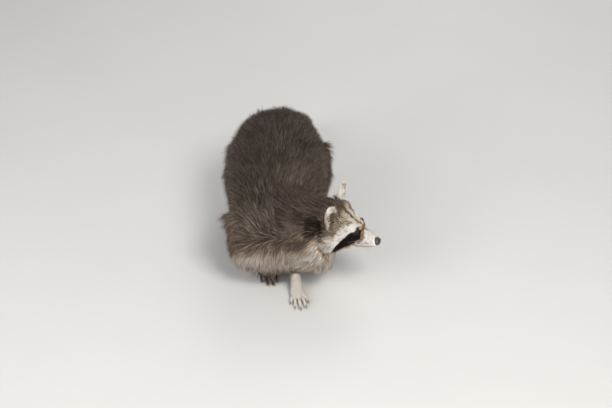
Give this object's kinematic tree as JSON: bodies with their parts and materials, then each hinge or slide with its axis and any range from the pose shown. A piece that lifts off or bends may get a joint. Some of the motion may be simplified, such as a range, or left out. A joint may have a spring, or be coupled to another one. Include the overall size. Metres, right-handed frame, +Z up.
{
  "type": "raccoon",
  "caption": "Life-size still model of a walking raccoon in its winter coat, head turned far round to its left, ringed tail held low.",
  "frame": {"origin": "middle of the animal's plan, on the floor between the soles", "axes": "+Z up; the chest faces -Y and the tail trails towards +Y, so the animal's own left side, to which the head is turned, is +X"},
  "size_m": [0.356, 0.7182, 0.2718],
  "materials": {
    "grey_coat": "long grizzled grey-brown fur, matt",
    "pale_coat": "short cream-white fur, matt",
    "dark_coat": "long dark brown fur, matt",
    "nose_skin": "bare moist black skin, soft sheen",
    "eye_gloss": "dark brown, wet gloss"
  },
  "bodies": {
    "root": {"nose": "nose_skin", "eye_left": "eye_gloss", "eye_right": "eye_gloss", "jaw": "pale_coat", "head": "grey_coat", "ear_left": "pale_coat", "ear_right": "pale_coat", "paw_foreleg_left": "pale_coat", "upper_arm_left": "grey_coat", "forearm_left": "grey_coat", "paw_foreleg_right": "pale_coat", "upper_arm_right": "grey_coat", "forearm_right": "grey_coat", "paw_hindleg_left": "pale_coat", "thigh_left": "grey_coat", "shank_left": "dark_coat", "paw_hindleg_right": "pale_coat", "thigh_right": "grey_coat", "shank_right": "dark_coat", "neck": "grey_coat", "tail_base": "dark_coat", "tail_middle": "dark_coat", "tail_tip": "dark_coat", "chest": "grey_coat", "loin": "grey_coat", "rump": "grey_coat"}
  },
  "joints": []
}
